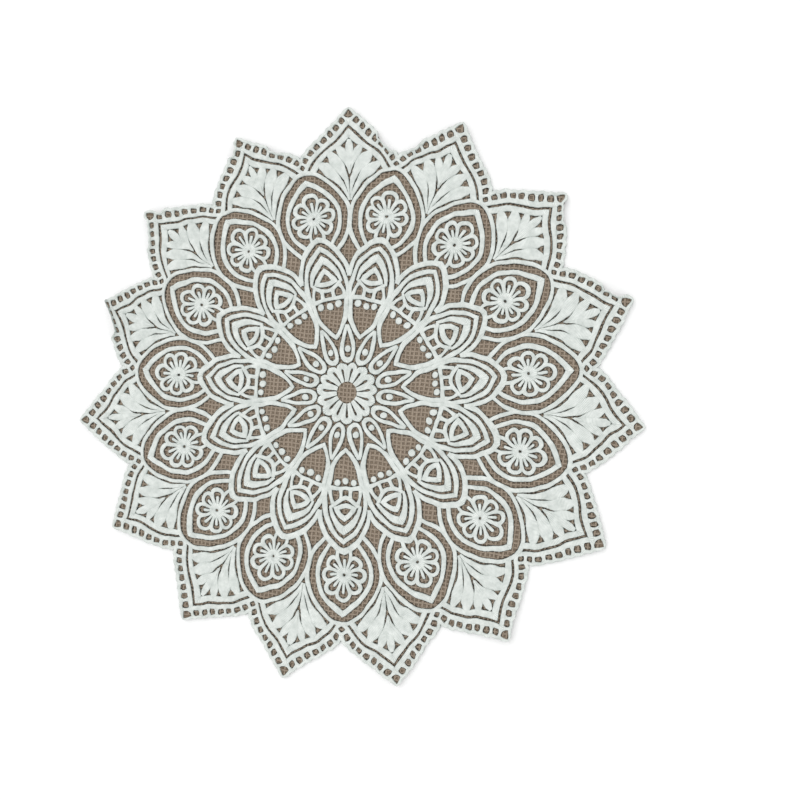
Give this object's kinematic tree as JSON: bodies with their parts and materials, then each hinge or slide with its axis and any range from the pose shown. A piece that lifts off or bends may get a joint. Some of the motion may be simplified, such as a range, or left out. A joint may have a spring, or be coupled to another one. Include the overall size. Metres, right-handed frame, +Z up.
{
  "type": "round embroidered tablecloth",
  "caption": "Round openwork table cloth that lies flat, with an embroidered flower ornament and a border of pointed petals edged with eyelets.",
  "frame": {"origin": "centre of the cloth, on its underside", "axes": "+Z up out of the embroidered face, +Y towards the petal that points to the top of the picture, +X to its right"},
  "size_m": [0.4001, 0.3994, 0.0065],
  "materials": {
    "cotton_thread": "matt white cotton embroidery thread on a coarse taupe square net"
  },
  "bodies": {
    "root": {"tablecloth": "cotton_thread"}
  },
  "joints": []
}
